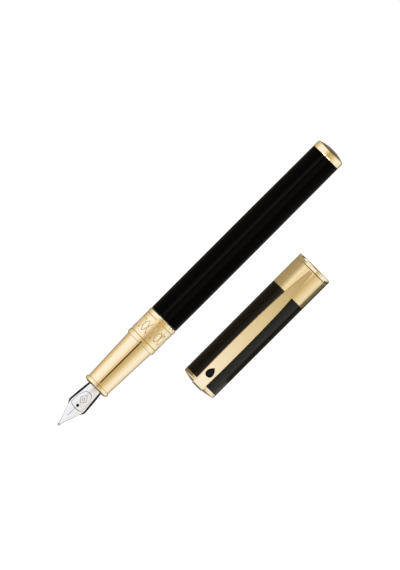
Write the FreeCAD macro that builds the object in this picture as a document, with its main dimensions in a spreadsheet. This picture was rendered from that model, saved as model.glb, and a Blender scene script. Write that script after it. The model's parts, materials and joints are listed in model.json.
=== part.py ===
import FreeCAD, Part
import math
import os

import Sketcher

# A fountain pen lying flat with its cap off beside it. The pen lies along X with the nib
# towards -X. The cap lies parallel to it on the -Y side with its closed end towards -X, as
# it sits on the pen, and its clip facing +Z. The origin is on the table, at the middle of
# the ground that the two cover. Lengths are in millimetres.
#
# Each pen piece is drawn with X measured from the nib's tip and the pen's axis on X. Each
# cap piece is drawn with X measured from the top of the dome and the cap's axis on X.

doc = FreeCAD.newDocument("FountainPen")
sheet = doc.addObject("Spreadsheet::Sheet", "Sizes")
pieces = []


class Size:
    """A length with its value and the expression that ties it to the sheet."""

    def __init__(self, value, text):
        self.value = value
        self.text = text

    def __add__(self, other):
        other = as_size(other)
        return Size(self.value + other.value, f"({self.text} + {other.text})")

    def __radd__(self, other):
        return as_size(other) + self

    def __sub__(self, other):
        other = as_size(other)
        return Size(self.value - other.value, f"({self.text} - {other.text})")

    def __rsub__(self, other):
        return as_size(other) - self

    def __mul__(self, factor):
        return Size(self.value * factor, f"({self.text} * {factor})")

    def __neg__(self):
        return self * -1


def as_size(number):
    return number if isinstance(number, Size) else Size(number, f"({number})")


def size(name, value):
    """Put one driving dimension in the sheet."""
    row = len(sheet.getUsedCells()) // 2 + 1
    sheet.set(f"A{row}", name)
    sheet.set(f"B{row}", str(value))
    sheet.setAlias(f"B{row}", name)
    return Size(value, f"Sizes.{name}")


# ---- driving dimensions: the pen ----
pen_length = size("pen_length", 129.75)
thin_gap = size("thin_gap", 0.03)            # between pieces pressed into each other
edge_break = size("edge_break", 0.1)         # small chamfer on every trim ring
lead_in = size("lead_in", 0.5)               # chamfer where one piece is pushed into another

grip_front = size("grip_front", 17.45)
lip_crest = size("lip_crest", 18.4)
lip_crest_radius = size("lip_crest_radius", 4.92)
lip_bore_radius = size("lip_bore_radius", 3.3)
lip_wall = size("lip_wall", 0.85)
lip_edge = size("lip_edge", 0.12)
lip_front_bow = (size("lip_front_bow", 17.75), size("lip_front_bow_radius", 4.32))
lip_rear_bow = (size("lip_rear_bow", 19.0), size("lip_rear_bow_radius", 4.76))
waist = size("waist", 19.4)
waist_radius = size("waist_radius", 4.44)
waist_half = size("waist_half", 0.12)
waist_rise = size("waist_rise", 0.05)
waist_dip = size("waist_dip", 0.03)
taper_front = size("taper_front", 20.1)
taper_front_radius = size("taper_front_radius", 4.57)
grip_rear = size("grip_rear", 38.57)
grip_rear_radius = size("grip_rear_radius", 5.3)
grip_bore_radius = size("grip_bore_radius", 4.0)

trim_radius = size("trim_radius", 5.78)
band_front = size("band_front", 40.47)
band_rear = size("band_rear", 48.1)
band_radius = size("band_radius", 5.73)
trim_rear = size("trim_rear", 49.87)
trim_bore_radius = size("trim_bore_radius", 4.31)

sleeve_front = size("sleeve_front", 36.0)
sleeve_bore_radius = size("sleeve_bore_radius", 3.9)
sleeve_neck_radius = size("sleeve_neck_radius", 3.62)
sleeve_neck_rear = size("sleeve_neck_rear", 42.2)
thread_front = size("thread_front", 50.6)
thread_pitch = size("thread_pitch", 0.8)
thread_depth = size("thread_depth", 0.32)
thread_run_out = size("thread_run_out", 0.5)
THREAD_TURNS = 6
# A ridge's crest starts and ends, and its foot ends, at these shares of the pitch.
RIDGE_CREST = (0.35, 0.5)
RIDGE_END = 0.85

housing_rear = size("housing_rear", 27.0)
housing_bore_radius = size("housing_bore_radius", 3.27)
washer_thickness = size("washer_thickness", 0.5)
washer_bore_radius = size("washer_bore_radius", 2.0)
liner_step = size("liner_step", 35.9)
liner_rear = size("liner_rear", 42.0)
nipple_rear = size("nipple_rear", 49.2)
nipple_radius = size("nipple_radius", 1.3)
nipple_taper = size("nipple_taper", 0.3)
nipple_tip_radius = size("nipple_tip_radius", 1.1)
ink_bore_radius = size("ink_bore_radius", 0.6)

barrel_front = size("barrel_front", 50.13)
barrel_rear = size("barrel_rear", 126.25)
barrel_front_radius = size("barrel_front_radius", 5.67)
barrel_straight_front = size("barrel_straight_front", 62.0)
barrel_straight_rear = size("barrel_straight_rear", 95.0)
barrel_straight_radius = size("barrel_straight_radius", 5.72)
barrel_rear_radius = size("barrel_rear_radius", 5.6)
barrel_bore_radius = size("barrel_bore_radius", 5.2)
seal_thickness = size("seal_thickness", 0.2)
seal_bore_radius = size("seal_bore_radius", 4.75)
insert_setback = size("insert_setback", 0.2)
insert_length = size("insert_length", 7.2)
insert_bore_radius = size("insert_bore_radius", 4.72)
finial_radius = size("finial_radius", 5.63)
finial_undercut = size("finial_undercut", 0.08)
finial_shoulder = size("finial_shoulder", 128.5)
finial_shoulder_bow = (size("finial_bow", 128.68), size("finial_bow_radius", 5.56))
finial_dome_front = size("finial_dome_front", 128.75)
finial_dome_radius = size("finial_dome_radius", 5.4)
finial_dome_bow = (size("finial_dome_bow", 129.47), size("finial_dome_bow_radius", 2.91))
finial_stem_front = size("finial_stem_front", 122.5)
finial_screw_radius = size("finial_screw_radius", 1.5)
finial_screw_rear = size("finial_screw_rear", 127.1)
screw_slot_half = size("screw_slot_half", 0.25)
screw_slot_depth = size("screw_slot_depth", 0.8)

converter_front = size("converter_front", 43.0)
converter_radius = size("converter_radius", 3.6)
converter_bore_radius = size("converter_bore_radius", 3.1)
converter_wall = size("converter_wall", 0.55)
socket_radius = size("socket_radius", 1.34)
socket_depth = size("socket_depth", 7.3)
socket_rear = size("socket_rear", 50.0)
socket_plug = size("socket_plug", 2.5)
tube_rear = size("tube_rear", 86.0)
collar_front = size("collar_front", 83.0)
collar_radius = size("collar_radius", 3.85)
guide_rear = size("guide_rear", 90.2)
guide_bore_radius = size("guide_bore_radius", 1.3)
knob_front = size("knob_front", 90.4)
knob_rear = size("knob_rear", 113.5)
knob_radius = size("knob_radius", 3.4)
knob_end_wall = size("knob_end_wall", 0.8)
knob_round = size("knob_round", 0.6)
flute_radius = size("flute_radius", 0.28)
flute_offset = size("flute_offset", 0.12)
FLUTES = 18
piston_front = size("piston_front", 78.0)
piston_rear = size("piston_rear", 84.0)
piston_radius = size("piston_radius", 2.85)
piston_chamfer = size("piston_chamfer", 0.6)
piston_groove_radius = size("piston_groove_radius", 2.4)
piston_seal_radius = size("piston_seal_radius", 3.04)
piston_seal_thickness = size("piston_seal_thickness", 0.62)
piston_seal_first = size("piston_seal_first", 79.8)
piston_seal_spacing = size("piston_seal_spacing", 2.4)
rod_radius = size("rod_radius", 1.15)
rod_rear = size("rod_rear", 112.4)

# ---- driving dimensions: the nib and its feed ----
nib_start = size("nib_start", 1.0)
nib_rear = size("nib_rear", 24.0)
nib_thickness = size("nib_thickness", 0.3)
nib_point_half = size("nib_point_half", 0.42)
shoulder = size("shoulder", 8.3)
shoulder_half = size("shoulder_half", 3.25)
nib_widest = size("nib_widest", 9.4)
nib_widest_half = size("nib_widest_half", 3.34)
nib_shoulder_bow = (size("nib_shoulder_bow", 8.75), size("nib_shoulder_bow_half", 3.36))
nib_neck_bow = (size("nib_neck_bow", 13.0), size("nib_neck_bow_half", 2.87))
nib_base_half = size("nib_base_half", 2.5)
breather = size("breather", 9.42)
breather_radius = size("breather_radius", 0.53)
slit_half = size("slit_half", 0.05)
tip_radius = size("tip_radius", 0.46)
tip_length = size("tip_length", 1.08)
tip_height = size("tip_height", 1.2)
tip_overlap = size("tip_overlap", 0.04)
feed_radius = size("feed_radius", 2.88)
feed_wing_radius = size("feed_wing_radius", 3.6)
feed_rear = size("feed_rear", 26.9)
feed_front = size("feed_front", 4.6)
feed_nose = (size("feed_nose", 4.7), size("feed_nose_radius", 1.0))
feed_brow = (size("feed_brow", 8.4), size("feed_brow_radius", 3.3))
feed_wing_bow = (size("feed_wing_bow", 8.8), size("feed_wing_bow_radius", 3.52))
feed_neck_bow = (size("feed_neck_bow", 13.4), size("feed_neck_bow_radius", 3.3))
feed_neck_rear = size("feed_neck_rear", 17.35)
feed_clearance = size("feed_clearance", 0.02)
channel_half = size("channel_half", 0.15)
channel_floor = size("channel_floor", 1.3)
channel_end_wall = size("channel_end_wall", 1.0)
fin_first = size("fin_first", 9.6)
fin_pitch = size("fin_pitch", 0.6)
fin_gap = size("fin_gap", 0.28)
fin_root = size("fin_root", 1.7)
FINS = 10

# ---- driving dimensions: the cap ----
cap_radius = size("cap_radius", 6.83)
cap_top_radius = size("cap_top_radius", 6.77)
dome_bow = (size("dome_bow", 0.2825), size("dome_bow_radius", 3.385))
dome_shoulder = (size("dome_shoulder", 1.01), size("dome_shoulder_radius", 6.57))
dome_edge_bow = (size("dome_edge", 1.13), size("dome_edge_radius", 6.71))
dome_side_front = size("dome_side_front", 1.28)
dome_rear = size("dome_rear", 2.22)
dome_screw_depth = size("dome_screw_depth", 0.7)
lacquer_rear = size("lacquer_rear", 43.03)
lip_groove = size("lip_groove", 54.2)
lip_groove_width = size("lip_groove_width", 0.25)
lip_groove_radius = size("lip_groove_radius", 6.62)
cap_length = size("cap_length", 55.95)
lip_round = size("lip_round", 0.5)
mouth_edge = size("mouth_edge", 0.15)
lacquer_step = size("lacquer_step", 0.02)
skin_bore_radius = size("skin_bore_radius", 6.38)
cap_bore_radius = size("cap_bore_radius", 5.92)
snap_front = size("snap_front", 43.6)
snap_width = size("snap_width", 0.8)
snap_outer_radius = size("snap_outer_radius", 6.12)
snap_inner_radius = size("snap_inner_radius", 5.62)
snap_crown = size("snap_crown", 0.2)
snap_gap_half = size("snap_gap_half", 1.2)
block_rear = size("block_rear", 6.5)
plug_radius = size("plug_radius", 5.88)
crown_screw_radius = size("crown_screw_radius", 1.2)
crown_head_radius = size("crown_head_radius", 2.2)
crown_head_front = size("crown_head_front", 4.9)
crown_head_rear = size("crown_head_rear", 5.6)
crown_screw_front = size("crown_screw_front", 0.8)
crown_clearance = size("crown_clearance", 0.1)
crown_slot_front = size("crown_slot_front", 5.3)
crown_slot_half = size("crown_slot_half", 0.3)
inner_cap_rear = size("inner_cap_rear", 23.2)
inner_cap_bore = size("inner_cap_bore", 4.4)
inner_cap_end = size("inner_cap_end", 1.2)
inner_cap_bevel = size("inner_cap_bevel", 1.5)
inner_cap_lead = size("inner_cap_lead", 0.3)

clip_start = size("clip_start", -0.05)
clip_root_bow = (size("clip_root_bow", 0.18), size("clip_root_bow_top", 7.96))
clip_root_side = size("clip_root_side", 7.4)
clip_root_rear = size("clip_root_rear", 0.75)
clip_top_bow = (size("clip_top_bow", 40.0), size("clip_top_bow_height", 8.08))
clip_belly_top = size("clip_belly_top", 8.25)
clip_end_top = size("clip_end_top", 7.75)
clip_end = size("clip_end", 53.8)
pad_ramp_front = size("pad_ramp_front", 49.2)
pad_front = size("pad_front", 51.2)
pad_rear = size("pad_rear", 53.2)
pad_end_bow = (size("pad_end_bow", 53.62), size("pad_end_bow_height", 7.07))
pad_end_height = size("pad_end_height", 7.35)
clip_root_half = size("clip_root_half", 2.03)
clip_belly = size("clip_belly", 18.0)
clip_belly_half = size("clip_belly_half", 2.26)
clip_bend = size("clip_bend", 31.6)
clip_bend_half = size("clip_bend_half", 2.11)
clip_taper = size("clip_taper", 43.0)
clip_taper_half = size("clip_taper_half", 1.63)
clip_end_half = size("clip_end_half", 0.72)
clip_underside = size("clip_underside", 7.25)
clip_top = size("clip_top", 8.2)
clip_pad_height = size("clip_pad_height", 6.95)
clip_joint = size("clip_joint", 0.1)
tail_floor = size("tail_floor", 5.9)
tail_rear = size("tail_rear", 2.15)
notch_half = size("notch_half", 2.3)
notch_floor = size("notch_floor", 5.4)
tab_front = size("tab_front", 2.75)
tab_rear = size("tab_rear", 4.25)
tab_half = size("tab_half", 1.0)
tab_floor = size("tab_floor", 3.85)
slot_half = size("slot_half", 1.2)
slot_rear = size("slot_rear", 4.8)
slot_floor = size("slot_floor", 3.5)
pivot_along = size("pivot_along", 3.5)
pivot_height = size("pivot_height", 4.6)
pivot_radius = size("pivot_radius", 0.5)
pivot_clearance = size("pivot_clearance", 0.06)
pivot_fit = size("pivot_fit", 0.02)
pivot_half_length = size("pivot_half_length", 2.8)
spring_along = size("spring_along", 1.5)
spring_radius = size("spring_radius", 0.4)
spring_wire_radius = size("spring_wire_radius", 0.1)
spring_well_radius = size("spring_well_radius", 0.58)
spring_floor = size("spring_floor", 3.3)
spring_clearance = size("spring_clearance", 0.02)
SPRING_TURNS = 5
drop_front = size("drop_front", 4.72)
drop_widest = size("drop_widest", 6.1)
drop_point = size("drop_point", 8.63)
drop_half = size("drop_half", 1.4)
drop_bow = (size("drop_bow", 7.55), size("drop_bow_half", 0.924))
drop_pocket = size("drop_pocket", 0.4)
drop_height = size("drop_height", 0.3)

# ---- where the pen and the cap lie ----
cap_along_pen = size("cap_along_pen", 41.9)
cap_beside_pen = size("cap_beside_pen", 23.5)
pen_home = (
    -pen_length * 0.5,
    (cap_beside_pen + cap_radius - trim_radius) * 0.5,
    trim_radius,
)
cap_home = (
    pen_home[0] + cap_along_pen,
    pen_home[1] - cap_beside_pen,
    cap_radius,
)
doc.recompute()


# ---- ways of making a piece ----
def vector(along, across, up=0):
    return FreeCAD.Vector(as_size(along).value, as_size(across).value, as_size(up).value)


def bind_place(thing, place):
    """Tie an object's position to the sheet."""
    thing.Placement.Base = vector(*place)
    for letter, distance in zip("xyz", place):
        thing.setExpression(f"Placement.Base.{letter}", as_size(distance).text)


def finish(thing, label, home):
    """Name a piece, put it in its place and keep it for writing."""
    thing.Label = label
    bind_place(thing, home)
    pieces.append(thing)
    return thing


def pin_to_sheet(sketch, edge, end, corner):
    """Hold one sketch point at its sheet position, measured from the sketch's origin."""
    for kind, axis, distance in (("DistanceX", -2, corner[0]), ("DistanceY", -1, corner[1])):
        distance = as_size(distance)
        if distance.value == 0:
            sketch.addConstraint(Sketcher.Constraint("PointOnObject", edge, end, axis))
            continue
        number = sketch.addConstraint(
            Sketcher.Constraint(kind, -1, 1, edge, end, distance.value)
        )
        sketch.setExpression(f"Constraints[{number}]", distance.text)


def draw_outline(body, plane_role, corners):
    """Draw a closed outline. A corner is (x, y), or (x, y, (x, y)) where the edge that
    reaches it is an arc through the second point."""
    sketch = body.newObject("Sketcher::SketchObject", "Outline")
    plane = [item for item in body.Origin.OriginFeatures if item.Role == plane_role][0]
    sketch.AttachmentSupport = [(plane, "")]
    sketch.MapMode = "FlatFace"
    edges = []
    for number, corner in enumerate(corners):
        start = vector(*corners[number - 1][:2])
        end = vector(*corner[:2])
        if len(corner) == 2:
            edges.append((sketch.addGeometry(Part.LineSegment(start, end)), 1, 2))
            continue
        middle = vector(*corner[2])
        clockwise = (middle - start).cross(end - start).z < 0
        if clockwise:
            arc = sketch.addGeometry(Part.Arc(end, middle, start))
            edges.append((arc, 2, 1))
        else:
            arc = sketch.addGeometry(Part.Arc(start, middle, end))
            edges.append((arc, 1, 2))
        point = sketch.addGeometry(Part.Point(middle), True)
        pin_to_sheet(sketch, point, 1, corner[2])
        sketch.addConstraint(Sketcher.Constraint("PointOnObject", point, 1, arc))
    for number, corner in enumerate(corners):
        edge, _, end = edges[number]
        following, start, _ = edges[(number + 1) % len(corners)]
        sketch.addConstraint(Sketcher.Constraint("Coincident", edge, end, following, start))
        pin_to_sheet(sketch, edge, end, corner)
    return sketch


def turned_body(name, corners):
    """A body turned about X from an outline of (distance along, radius) corners."""
    body = doc.addObject("PartDesign::Body", name)
    sketch = draw_outline(body, "XY_Plane", corners)
    turning = body.newObject("PartDesign::Revolution", "Turning")
    turning.Profile = sketch
    turning.ReferenceAxis = (sketch, ["H_Axis"])
    turning.Angle = 360
    return body


def turned(label, corners, home):
    return finish(turned_body(label, corners), label, home)


def tube(label, front, rear, inner, outer, home):
    """A plain ring or tube with its four edges square."""
    return turned(label, [(front, inner), (front, outer), (rear, outer), (rear, inner)], home)


def trim_ring(label, front, rear, inner, outer, home):
    """A ring whose outer edges are broken by a small chamfer."""
    corners = [
        (front, inner),
        (front, outer - edge_break),
        (front + edge_break, outer),
        (rear - edge_break, outer),
        (rear, outer - edge_break),
        (rear, inner),
    ]
    return turned(label, corners, home)


def padded_body(name, plane_role, corners, thickness):
    """A body of even thickness, centred on one of its own planes."""
    body = doc.addObject("PartDesign::Body", name)
    sketch = draw_outline(body, plane_role, corners)
    pad = body.newObject("PartDesign::Pad", "Pad")
    pad.Profile = sketch
    pad.Midplane = True
    pad.setExpression("Length", as_size(thickness).text)
    return body


def block(name, low, high):
    """A rectangular cutter between two corners."""
    box = doc.addObject("Part::Box", name)
    for side, start, stop in zip(("Length", "Width", "Height"), low, high):
        box.setExpression(side, (as_size(stop) - start).text)
    bind_place(box, low)
    return box


def peg(name, start, length, radius, direction):
    """A round cutter or pin that runs from a point along a direction."""
    cylinder = doc.addObject("Part::Cylinder", name)
    cylinder.setExpression("Height", as_size(length).text)
    cylinder.setExpression("Radius", as_size(radius).text)
    up = FreeCAD.Vector(0, 0, 1)
    cylinder.Placement.Rotation = FreeCAD.Rotation(up, FreeCAD.Vector(*direction))
    bind_place(cylinder, start)
    return cylinder


def join(name, things):
    fused = doc.addObject("Part::MultiFuse", name)
    fused.Shapes = things
    return fused


def cut(name, base, cutters):
    """Take one or more cutters away from a base."""
    result = doc.addObject("Part::Cut", name)
    result.Base = base
    result.Tool = cutters[0] if len(cutters) == 1 else join(name + "_cutters", cutters)
    return result


def common(name, base, tool):
    result = doc.addObject("Part::Common", name)
    result.Base = base
    result.Tool = tool
    return result


def shaped(name, shape):
    """A piece whose shape no sketch feature or primitive makes."""
    feature = doc.addObject("Part::Feature", name)
    feature.Shape = shape
    return feature


UP = (0, 0, 1)
ACROSS = (0, 1, 0)
ALONG = (1, 0, 0)
OUTSIDE = as_size(1)          # how far a cutter runs past the face that it opens
ROUND_MIDDLE = 1 - math.sqrt(0.5)   # how deep a quarter round's middle lies, in radii

# ---- nib: a curved leaf, flatter towards its point ----
# Each form is the radius of the leaf's outer face and the height of its top line.
NIB_POINT_FORM = (2.6, 1.42)
NIB_SHOULDER_FORM = (4.4, 2.75)
NIB_BASE_FORM = (3.22, 3.22)
NIB_HALF_ANGLE = math.radians(66)
NIB_STATIONS = 15
STRIP_FRONT = nib_start.value - 0.6
STRIP_REAR = feed_rear.value + 1
CUTTER_DEPTH = as_size(6)


def nib_form(along):
    """The leaf's form at one place, eased between the shoulders and the base."""
    if along >= grip_front.value:
        return NIB_BASE_FORM
    if along >= nib_widest.value:
        share = (along - nib_widest.value) / (grip_front.value - nib_widest.value)
        share = share * share * (3 - 2 * share)
        forms = (NIB_SHOULDER_FORM, NIB_BASE_FORM)
    else:
        share = (along - nib_start.value) / (nib_widest.value - nib_start.value)
        forms = (NIB_POINT_FORM, NIB_SHOULDER_FORM)
    return tuple(low + (high - low) * share for low, high in zip(*forms))


def curved_strip(name, inner_depth, outer_depth):
    """A strip bent over the feed, between two depths under the nib's outer face."""
    sections = []
    for number in range(NIB_STATIONS):
        along = STRIP_FRONT + (STRIP_REAR - STRIP_FRONT) * number / (NIB_STATIONS - 1)
        radius, top = nib_form(along)
        centre = top - radius
        arcs = []
        for distance, turn in ((radius - outer_depth, 1), (radius - inner_depth, -1)):
            points = [
                FreeCAD.Vector(
                    along,
                    distance * math.sin(angle * turn),
                    centre + distance * math.cos(angle * turn),
                )
                for angle in (-NIB_HALF_ANGLE, 0, NIB_HALF_ANGLE)
            ]
            arcs.append(Part.Arc(*points))
        sides = [
            Part.makeLine(arcs[0].EndPoint, arcs[1].StartPoint),
            Part.makeLine(arcs[1].EndPoint, arcs[0].StartPoint),
        ]
        sections.append(Part.Wire([arcs[0].toShape(), sides[0], arcs[1].toShape(), sides[1]]))
    return shaped(name, Part.makeLoft(sections, True))


nib_leaf = curved_strip("nib_leaf", nib_thickness.value, 0)


def other_side(point):
    """The mirror image of an outline's point across the X axis."""
    return (point[0], -point[1])


nib_outline = padded_body(
    "nib_outline",
    "XY_Plane",
    [
        (nib_start, -nib_point_half),
        (shoulder, -shoulder_half),
        (nib_widest, -nib_widest_half, other_side(nib_shoulder_bow)),
        (grip_front, -nib_base_half, other_side(nib_neck_bow)),
        (nib_rear, -nib_base_half),
        (nib_rear, nib_base_half),
        (grip_front, nib_base_half),
        (nib_widest, nib_widest_half, nib_neck_bow),
        (shoulder, shoulder_half, nib_shoulder_bow),
        (nib_start, nib_point_half),
    ],
    CUTTER_DEPTH * 2,
)
nib_blank = common("nib_blank", nib_leaf, nib_outline)
nib_slit = block("nib_slit", (0, -slit_half, -CUTTER_DEPTH), (breather, slit_half, CUTTER_DEPTH))
nib_breather = peg("nib_breather", (breather, 0, -CUTTER_DEPTH), CUTTER_DEPTH * 2, breather_radius, UP)
finish(cut("nib", nib_blank, [nib_slit, nib_breather]), "nib", pen_home)

# ---- hard tipping at the point, split by the slit ----
tip_ball = doc.addObject("Part::Ellipsoid", "tip_ball")
tip_ball.setExpression("Radius1", (tip_radius * 0.9).text)
tip_ball.setExpression("Radius2", (tip_length * 0.5).text)
tip_ball.setExpression("Radius3", tip_radius.text)
bind_place(tip_ball, (tip_length * 0.5, 0, tip_height))
tip_cutters = [
    block("tip_slit", (-OUTSIDE, -slit_half, -CUTTER_DEPTH), (nib_start, slit_half, CUTTER_DEPTH)),
    block(
        "tip_back",
        (nib_start - tip_overlap, -OUTSIDE, -CUTTER_DEPTH),
        (nib_start + OUTSIDE, OUTSIDE, CUTTER_DEPTH),
    ),
]
finish(cut("nib_tipping", tip_ball, tip_cutters), "nib_tipping", pen_home)

# ---- feed: a finned round bar that narrows under the nib ----
feed_bar = turned_body(
    "feed_bar",
    [
        (feed_front, 0),
        feed_nose,
        feed_brow,
        (fin_first, feed_wing_radius, feed_wing_bow),
        (feed_neck_rear, feed_radius, feed_neck_bow),
        (feed_rear, feed_radius),
        (feed_rear, 0),
    ],
)
ABOVE_NIB = -4                # a depth above the nib's outer face
over_feed = curved_strip("over_feed", (nib_thickness + feed_clearance).value, ABOVE_NIB)
feed_blank = cut("feed_blank", feed_bar, [over_feed])
feed_cutters = [
    block(
        "ink_channel",
        (0, -channel_half, channel_floor),
        (feed_rear - channel_end_wall, channel_half, CUTTER_DEPTH),
    ),
]
for number in range(FINS):
    place = fin_first + fin_pitch * number
    feed_cutters.append(
        block(
            f"fin_gap_{number}",
            (place, -CUTTER_DEPTH, -CUTTER_DEPTH),
            (place + fin_gap, CUTTER_DEPTH, -fin_root),
        )
    )
finish(cut("feed", feed_blank, feed_cutters), "feed", pen_home)

# ---- grip: a gilt shell that hides the nib's housing ----
turned(
    "grip_section",
    [
        (grip_front, lip_bore_radius + lip_edge),
        (lip_crest, lip_crest_radius, lip_front_bow),
        (waist - waist_half, waist_radius + waist_rise, lip_rear_bow),
        (waist + waist_half, waist_radius, (waist, waist_radius - waist_dip)),
        (taper_front, taper_front_radius),
        (grip_rear, grip_rear_radius),
        (grip_rear, grip_bore_radius),
        (grip_front + lip_wall, grip_bore_radius),
        (grip_front + lip_wall, lip_bore_radius),
        (grip_front + lip_edge, lip_bore_radius),
    ],
    pen_home,
)
trim_ring(
    "section_ring", grip_rear + thin_gap, band_front - thin_gap, trim_bore_radius, trim_radius, pen_home
)
trim_ring("section_band", band_front, band_rear, trim_bore_radius, band_radius, pen_home)
trim_ring("section_rear_ring", band_rear + thin_gap, trim_rear, trim_bore_radius, trim_radius, pen_home)

# ---- threaded sleeve that carries the trim rings and takes the barrel ----
sleeve_radius = trim_bore_radius - thin_gap
thread_ridges = []
for number in range(THREAD_TURNS):
    ridge = thread_front + thread_pitch * number
    thread_ridges += [
        (ridge, sleeve_radius),
        (ridge + thread_pitch * RIDGE_CREST[0], sleeve_radius + thread_depth),
        (ridge + thread_pitch * RIDGE_CREST[1], sleeve_radius + thread_depth),
        (ridge + thread_pitch * RIDGE_END, sleeve_radius),
    ]
thread_rear = thread_front + thread_pitch * THREAD_TURNS + thread_run_out
turned(
    "threaded_sleeve",
    [
        (sleeve_front, sleeve_neck_radius),
        (sleeve_front, grip_bore_radius - thin_gap),
        (grip_rear + thin_gap, grip_bore_radius - thin_gap),
        (grip_rear + thin_gap, sleeve_radius),
        *thread_ridges,
        (thread_rear, sleeve_radius),
        (thread_rear, sleeve_bore_radius),
        (sleeve_neck_rear, sleeve_bore_radius),
        (sleeve_neck_rear, sleeve_neck_radius),
    ],
    pen_home,
)

# ---- inside the grip: nib housing, washer and the liner that ends in the ink nipple ----
core_radius = grip_bore_radius - thin_gap
housing_front = grip_front + lip_wall + thin_gap
tube("nib_housing", housing_front, housing_rear, housing_bore_radius, core_radius, pen_home)
washer_front = housing_rear + thin_gap
washer_rear = washer_front + washer_thickness
tube("liner_washer", washer_front, washer_rear, washer_bore_radius, core_radius, pen_home)
turned(
    "section_liner",
    [
        (washer_rear + thin_gap, ink_bore_radius),
        (washer_rear + thin_gap, core_radius),
        (liner_step, core_radius),
        (liner_step, sleeve_neck_radius - thin_gap),
        (liner_rear, sleeve_neck_radius - thin_gap),
        (liner_rear, nipple_radius),
        (nipple_rear - nipple_taper, nipple_radius),
        (nipple_rear, nipple_tip_radius),
        (nipple_rear, ink_bore_radius),
    ],
    pen_home,
)

# ---- barrel: lacquered tube, threaded insert, gilt finial and its screw ----
tube(
    "barrel_seal",
    trim_rear + thin_gap,
    trim_rear + thin_gap + seal_thickness,
    seal_bore_radius,
    barrel_front_radius - edge_break,
    pen_home,
)
turned(
    "barrel_tube",
    [
        (barrel_front, barrel_bore_radius),
        (barrel_front, barrel_front_radius - edge_break),
        (barrel_front + edge_break, barrel_front_radius),
        (barrel_straight_front, barrel_straight_radius),
        (barrel_straight_rear, barrel_straight_radius),
        (barrel_rear, barrel_rear_radius),
        (barrel_rear, barrel_bore_radius),
    ],
    pen_home,
)
insert_front = barrel_front + insert_setback
insert_radius = barrel_bore_radius - thin_gap
tube(
    "barrel_insert", insert_front, insert_front + insert_length, insert_bore_radius, insert_radius, pen_home
)
screw_bore_radius = finial_screw_radius + thin_gap
turned(
    "barrel_finial",
    [
        (finial_stem_front, screw_bore_radius),
        (finial_stem_front, insert_radius),
        (barrel_rear + thin_gap, insert_radius),
        (barrel_rear + thin_gap, finial_radius - finial_undercut),
        (barrel_rear + thin_gap + finial_undercut, finial_radius),
        (finial_shoulder, finial_radius),
        (finial_dome_front, finial_dome_radius, finial_shoulder_bow),
        (pen_length, 0, finial_dome_bow),
        (finial_screw_rear + thin_gap, 0),
        (finial_screw_rear + thin_gap, screw_bore_radius),
    ],
    pen_home,
)
finial_screw_blank = turned_body(
    "finial_screw_blank",
    [
        (finial_stem_front, 0),
        (finial_stem_front, finial_screw_radius),
        (finial_screw_rear, finial_screw_radius),
        (finial_screw_rear, 0),
    ],
)
screw_slot = block(
    "finial_screw_slot",
    (finial_stem_front - OUTSIDE, -screw_slot_half, -finial_screw_radius * 2),
    (finial_stem_front + screw_slot_depth, screw_slot_half, finial_screw_radius * 2),
)
finish(cut("finial_screw", finial_screw_blank, [screw_slot]), "finial_screw", pen_home)

# ---- converter: socket, clear tube, collar, guide, knob, piston ----
plug_in_tube = converter_bore_radius - thin_gap
turned(
    "converter_socket",
    [
        (converter_front, socket_radius),
        (converter_front, converter_radius - lead_in),
        (converter_front + lead_in, converter_radius),
        (socket_rear, converter_radius),
        (socket_rear, plug_in_tube),
        (socket_rear + socket_plug, plug_in_tube),
        (socket_rear + socket_plug, ink_bore_radius),
        (converter_front + socket_depth, ink_bore_radius),
        (converter_front + socket_depth, socket_radius),
    ],
    pen_home,
)
tube_radius = converter_bore_radius + converter_wall
tube("converter_tube", socket_rear + thin_gap, tube_rear, converter_bore_radius, tube_radius, pen_home)
trim_ring("converter_collar", collar_front, guide_rear, tube_radius + thin_gap, collar_radius, pen_home)
tube("converter_guide", tube_rear + thin_gap, guide_rear, guide_bore_radius, tube_radius, pen_home)

knob = turned_body(
    "converter_knob",
    [
        (knob_front, guide_bore_radius),
        (knob_front, knob_radius),
        (knob_rear - knob_round, knob_radius),
        (
            knob_rear,
            knob_radius - knob_round,
            (knob_rear - knob_round * ROUND_MIDDLE, knob_radius - knob_round * ROUND_MIDDLE),
        ),
        (knob_rear, 0),
        (knob_rear - knob_end_wall, 0),
        (knob_rear - knob_end_wall, guide_bore_radius),
    ],
)
flute_sketch = knob.newObject("Sketcher::SketchObject", "FluteSketch")
end_plane = [item for item in knob.Origin.OriginFeatures if item.Role == "YZ_Plane"][0]
flute_sketch.AttachmentSupport = [(end_plane, "")]
flute_sketch.MapMode = "FlatFace"
flute_circle = flute_sketch.addGeometry(
    Part.Circle(vector(knob_radius + flute_offset, 0), FreeCAD.Vector(*UP), flute_radius.value)
)
pin_to_sheet(flute_sketch, flute_circle, 3, (knob_radius + flute_offset, 0))
flute_size = flute_sketch.addConstraint(
    Sketcher.Constraint("Radius", flute_circle, flute_radius.value)
)
flute_sketch.setExpression(f"Constraints[{flute_size}]", flute_radius.text)
flute = knob.newObject("PartDesign::Pocket", "Flute")
flute.Profile = flute_sketch
flute.Type = "ThroughAll"
flute.Midplane = True
flutes = knob.newObject("PartDesign::PolarPattern", "Flutes")
flutes.Originals = [flute]
flutes.Axis = (flute_sketch, ["N_Axis"])
flutes.Angle = 360
flutes.Occurrences = FLUTES
knob.Tip = flutes
finish(knob, "converter_knob", pen_home)

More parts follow.
